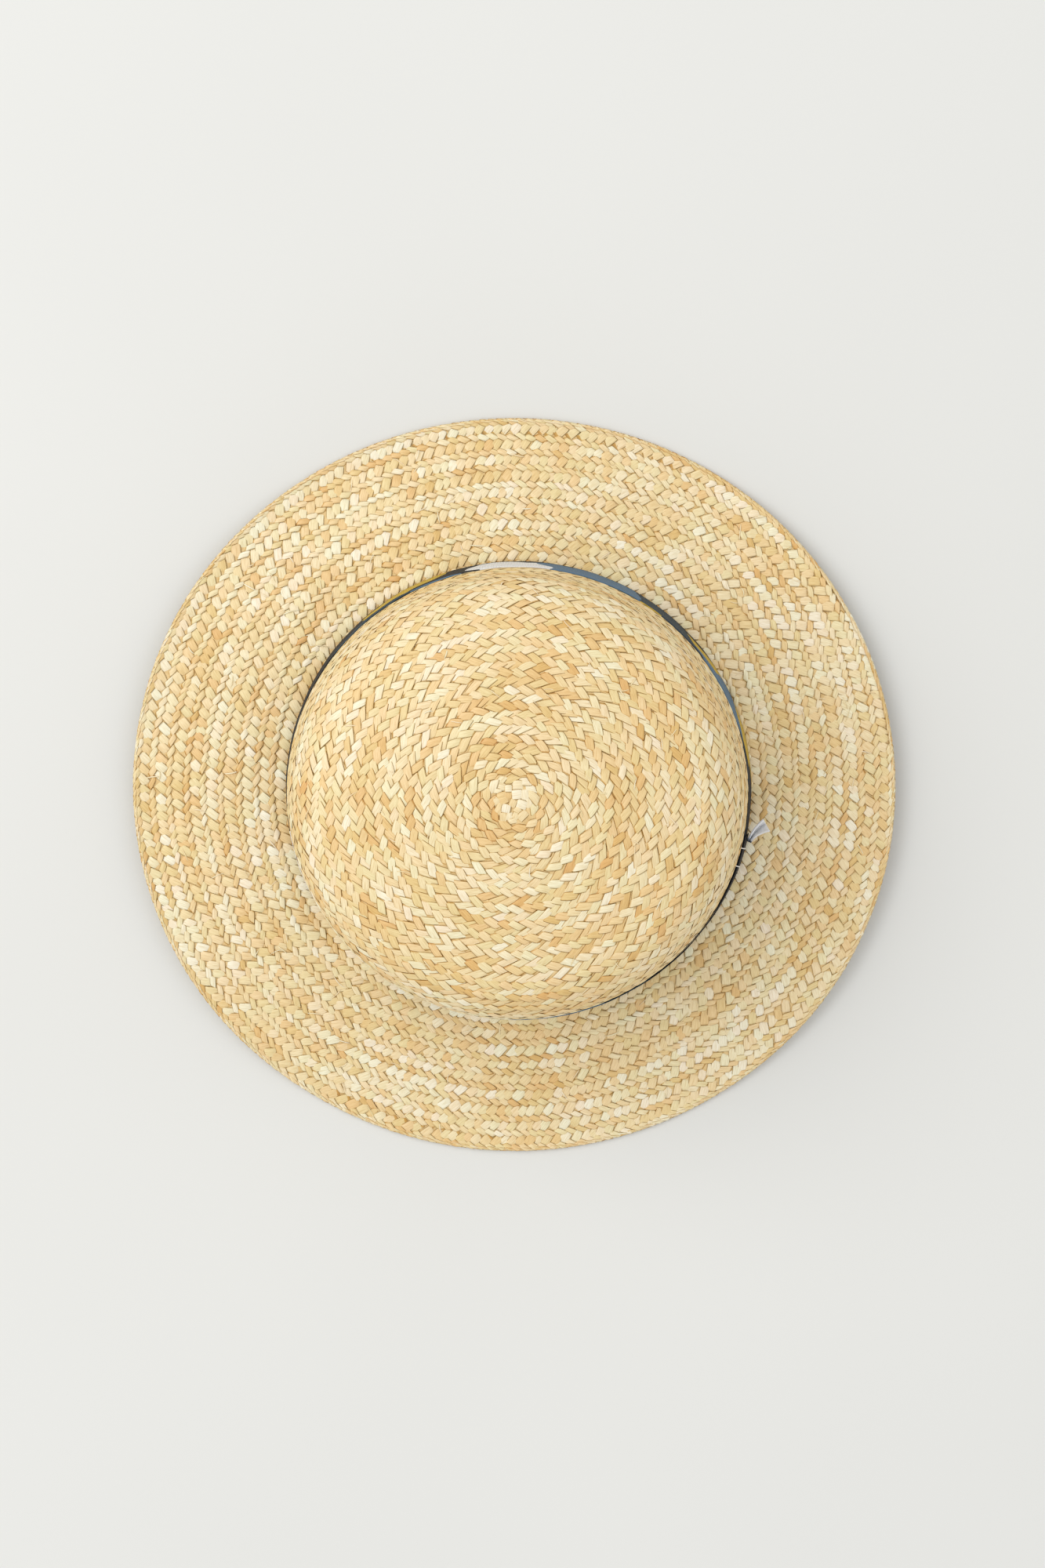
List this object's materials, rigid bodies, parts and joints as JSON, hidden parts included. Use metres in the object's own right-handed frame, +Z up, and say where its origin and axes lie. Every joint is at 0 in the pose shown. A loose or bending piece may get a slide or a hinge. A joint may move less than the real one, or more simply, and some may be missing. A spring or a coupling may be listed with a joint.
{
  "type": "straw hat",
  "caption": "A round straw hat of sewn plait with a flat-topped crown, a gently drooping brim and a patterned cloth ribbon with a short loose end.",
  "frame": {"origin": "on the surface that the hat lies on, under the middle of the brim", "axes": "+Z up through the crown; +X to the back of the hat, where the ribbon ends; +Y to the wearer's right side"},
  "size_m": [0.309, 0.299, 0.1066],
  "materials": {
    "crown_straw": "sewn straw plait, satin",
    "brim_straw": "sewn straw plait, satin",
    "ribbon": "printed woven ribbon",
    "ribbon_end": "printed woven ribbon"
  },
  "bodies": {
    "root": {"crown": "crown_straw", "brim": "brim_straw", "hat_band": "ribbon", "band_tail": "ribbon_end"}
  },
  "joints": []
}
